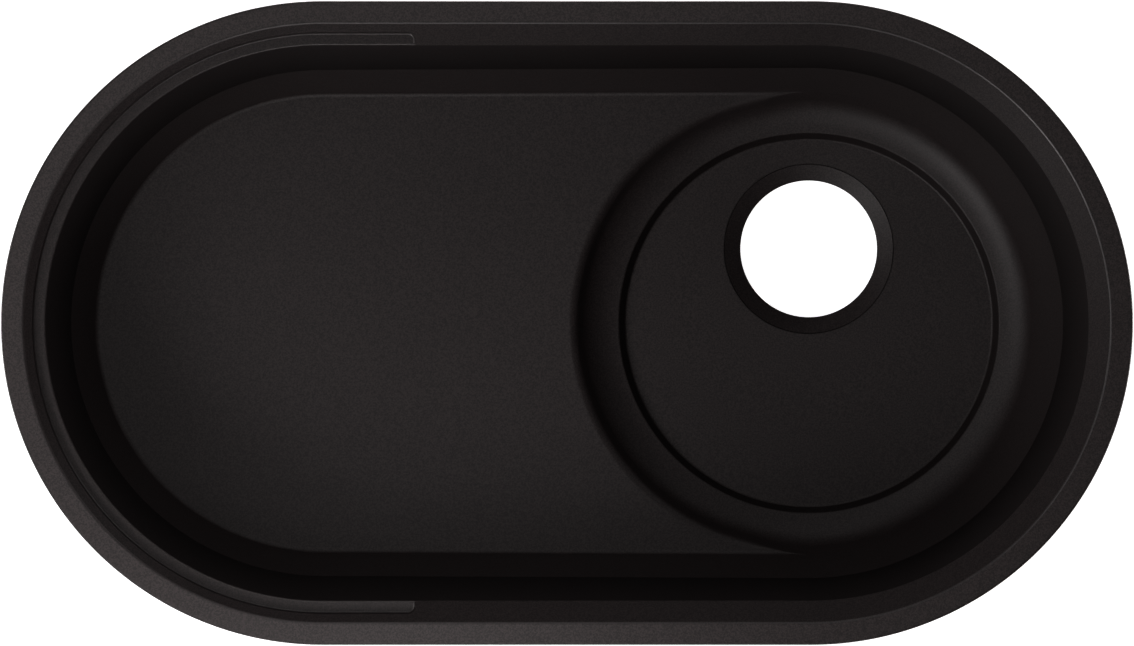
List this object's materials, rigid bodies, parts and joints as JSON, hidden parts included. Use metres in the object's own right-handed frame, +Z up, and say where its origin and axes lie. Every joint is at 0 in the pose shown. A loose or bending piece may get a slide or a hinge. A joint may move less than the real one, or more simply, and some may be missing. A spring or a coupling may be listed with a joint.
{
  "type": "undermount kitchen sink",
  "caption": "Undermount kitchen sink of dark stone composite with a raised tray, a deeper round bowl and swing-out fixing plates under its flange.",
  "frame": {"origin": "under the middle of the flange, level with the lowest face, which is the ring round the outlet", "axes": "+X along the sink from the tray to the bowl, +Y to the back, where the outlet is nearer, +Z up"},
  "size_m": [0.756, 0.43, 0.2069],
  "materials": {
    "stone": "fine-grained matte stone composite, near black",
    "brass": "turned brass",
    "steel": "stamped stainless steel",
    "washer_steel": "bright stainless steel",
    "screw_steel": "stainless steel"
  },
  "bodies": {
    "sink": {"sink_bowl": "stone", "fixing_insert_1": "brass", "fixing_washer_1": "washer_steel", "fixing_screw_1": "screw_steel", "fixing_insert_2": "brass", "fixing_washer_2": "washer_steel", "fixing_screw_2": "screw_steel", "fixing_insert_3": "brass", "fixing_washer_3": "washer_steel", "fixing_screw_3": "screw_steel", "fixing_insert_4": "brass", "fixing_washer_4": "washer_steel", "fixing_screw_4": "screw_steel", "fixing_insert_5": "brass", "fixing_washer_5": "washer_steel", "fixing_screw_5": "screw_steel", "fixing_insert_6": "brass", "fixing_washer_6": "washer_steel", "fixing_screw_6": "screw_steel", "fixing_insert_7": "brass", "fixing_washer_7": "washer_steel", "fixing_screw_7": "screw_steel", "fixing_insert_8": "brass", "fixing_washer_8": "washer_steel", "fixing_screw_8": "screw_steel"},
    "plate_1": {"fixing_plate_1": "steel"},
    "plate_2": {"fixing_plate_2": "steel"},
    "plate_3": {"fixing_plate_3": "steel"},
    "plate_4": {"fixing_plate_4": "steel"},
    "plate_5": {"fixing_plate_5": "steel"},
    "plate_6": {"fixing_plate_6": "steel"},
    "plate_7": {"fixing_plate_7": "steel"},
    "plate_8": {"fixing_plate_8": "steel"}
  },
  "joints": [
    {"name": "plate_swing_1", "type": "hinge", "parent": "sink", "child": "plate_1", "pos_m": [-0.12196, 0.2068, 0.1946], "axis": [0, 0, -1], "range_deg": [0, 90]},
    {"name": "plate_swing_2", "type": "hinge", "parent": "sink", "child": "plate_2", "pos_m": [-0.33487, 0.11501, 0.1946], "axis": [0, 0, -1], "range_deg": [0, 90]},
    {"name": "plate_swing_3", "type": "hinge", "parent": "sink", "child": "plate_3", "pos_m": [-0.33487, -0.11501, 0.1946], "axis": [0, 0, -1], "range_deg": [0, 90]},
    {"name": "plate_swing_4", "type": "hinge", "parent": "sink", "child": "plate_4", "pos_m": [-0.12196, -0.2068, 0.1946], "axis": [0, 0, -1], "range_deg": [0, 90]},
    {"name": "plate_swing_5", "type": "hinge", "parent": "sink", "child": "plate_5", "pos_m": [0.12196, -0.2068, 0.1946], "axis": [0, 0, -1], "range_deg": [0, 90]},
    {"name": "plate_swing_6", "type": "hinge", "parent": "sink", "child": "plate_6", "pos_m": [0.33487, -0.11501, 0.1946], "axis": [0, 0, -1], "range_deg": [0, 90]},
    {"name": "plate_swing_7", "type": "hinge", "parent": "sink", "child": "plate_7", "pos_m": [0.33487, 0.11501, 0.1946], "axis": [0, 0, -1], "range_deg": [0, 90]},
    {"name": "plate_swing_8", "type": "hinge", "parent": "sink", "child": "plate_8", "pos_m": [0.12196, 0.2068, 0.1946], "axis": [0, 0, -1], "range_deg": [0, 90]}
  ]
}
